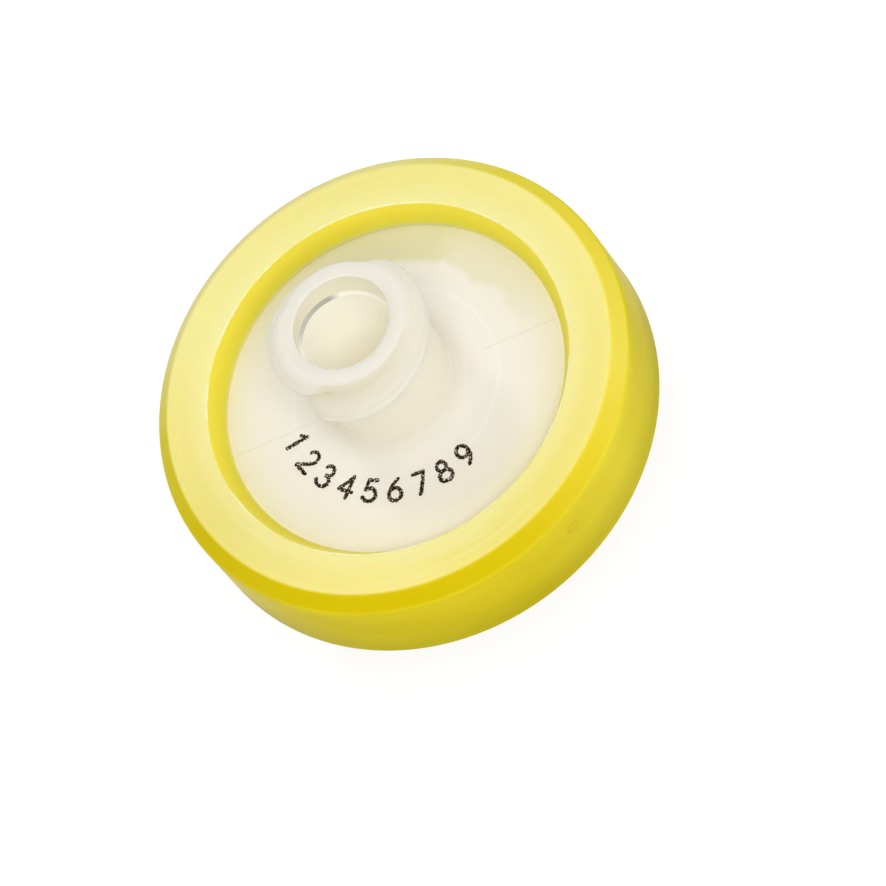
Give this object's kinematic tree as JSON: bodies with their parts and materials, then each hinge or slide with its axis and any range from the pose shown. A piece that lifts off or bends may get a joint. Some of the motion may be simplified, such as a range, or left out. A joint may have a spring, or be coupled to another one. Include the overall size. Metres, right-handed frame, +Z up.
{
  "type": "syringe filter",
  "caption": "Round disposable syringe filter: translucent disc housing in a moulded yellow ring, female luer lock port above, male luer tip below.",
  "frame": {"origin": "in the middle of the end of the outlet tip, which the filter stands on", "axes": "+Z up along the filter's own axis, from the outlet tip to the inlet port; +X and +Y across it, with the first lock lug leaving the rim 40 degrees from +X"},
  "size_m": [0.024, 0.024, 0.0214],
  "materials": {
    "ring": "glossy moulded polypropylene, slightly translucent, yellow",
    "housing": "natural polypropylene, milky and translucent, smooth",
    "membrane": "white fluoropolymer membrane, matt"
  },
  "bodies": {
    "root": {"overmould_ring": "ring", "inlet_housing": "housing", "outlet_housing": "housing", "membrane": "membrane"}
  },
  "joints": []
}
